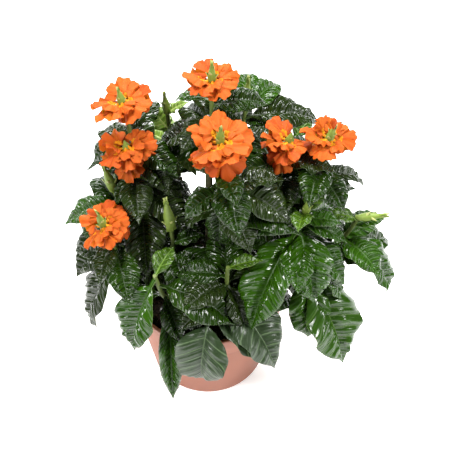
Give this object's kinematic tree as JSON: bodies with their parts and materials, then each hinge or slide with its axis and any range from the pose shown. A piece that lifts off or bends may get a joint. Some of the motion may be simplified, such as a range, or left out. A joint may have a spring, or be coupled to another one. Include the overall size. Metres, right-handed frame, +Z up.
{
  "type": "potted crossandra",
  "caption": "Bushy flowering house plant with broad glossy leaves, orange flower heads and green bud spikes, growing in a round tapered nursery pot.",
  "frame": {"origin": "centre of the pot's flat underside", "axes": "+Z up, -Y towards the side the picture is taken from, +X to the right in the picture"},
  "size_m": [0.242, 0.2234, 0.268],
  "materials": {
    "pot_plastic": "moulded terracotta-coloured plastic, matt",
    "potting_soil": "moist dark potting mix",
    "green_bark": "smooth green-brown young bark",
    "leaves_and_blossom": "glossy quilted dark green leaves with soft orange petals"
  },
  "bodies": {
    "root": {"bough_back": "green_bark", "bough_back_left": "green_bark", "bough_back_right": "green_bark", "bough_centre_flower": "green_bark", "bough_front": "green_bark", "bough_left_bud": "green_bark", "bough_left_flower": "green_bark", "bough_left_front": "green_bark", "bough_left_low_flower": "green_bark", "bough_left_top_flower": "green_bark", "bough_left_young": "green_bark", "bough_low_back": "green_bark", "bough_low_back_right": "green_bark", "bough_low_front": "green_bark", "bough_low_left": "green_bark", "bough_low_right": "green_bark", "bough_middle_bud": "green_bark", "bough_right_end": "green_bark", "bough_right_flower": "green_bark", "bough_right_front": "green_bark", "bough_right_inner_flower": "green_bark", "bough_top_bud": "green_bark", "bough_top_flower": "green_bark", "main_stem": "green_bark", "pot": "pot_plastic", "potting_soil": "potting_soil", "shoot_back": "leaves_and_blossom", "shoot_back_left": "leaves_and_blossom", "shoot_back_right": "leaves_and_blossom", "shoot_centre_flower": "leaves_and_blossom", "shoot_front": "leaves_and_blossom", "shoot_left_bud": "leaves_and_blossom", "shoot_left_flower": "leaves_and_blossom", "shoot_left_front": "leaves_and_blossom", "shoot_left_low_flower": "leaves_and_blossom", "shoot_left_top_flower": "leaves_and_blossom", "shoot_left_young": "leaves_and_blossom", "shoot_low_back": "leaves_and_blossom", "shoot_low_back_right": "leaves_and_blossom", "shoot_low_front": "leaves_and_blossom", "shoot_low_left": "leaves_and_blossom", "shoot_low_right": "leaves_and_blossom", "shoot_middle_bud": "leaves_and_blossom", "shoot_right_end": "leaves_and_blossom", "shoot_right_flower": "leaves_and_blossom", "shoot_right_front": "leaves_and_blossom", "shoot_right_inner_flower": "leaves_and_blossom", "shoot_top_bud": "leaves_and_blossom", "shoot_top_flower": "leaves_and_blossom"}
  },
  "joints": []
}
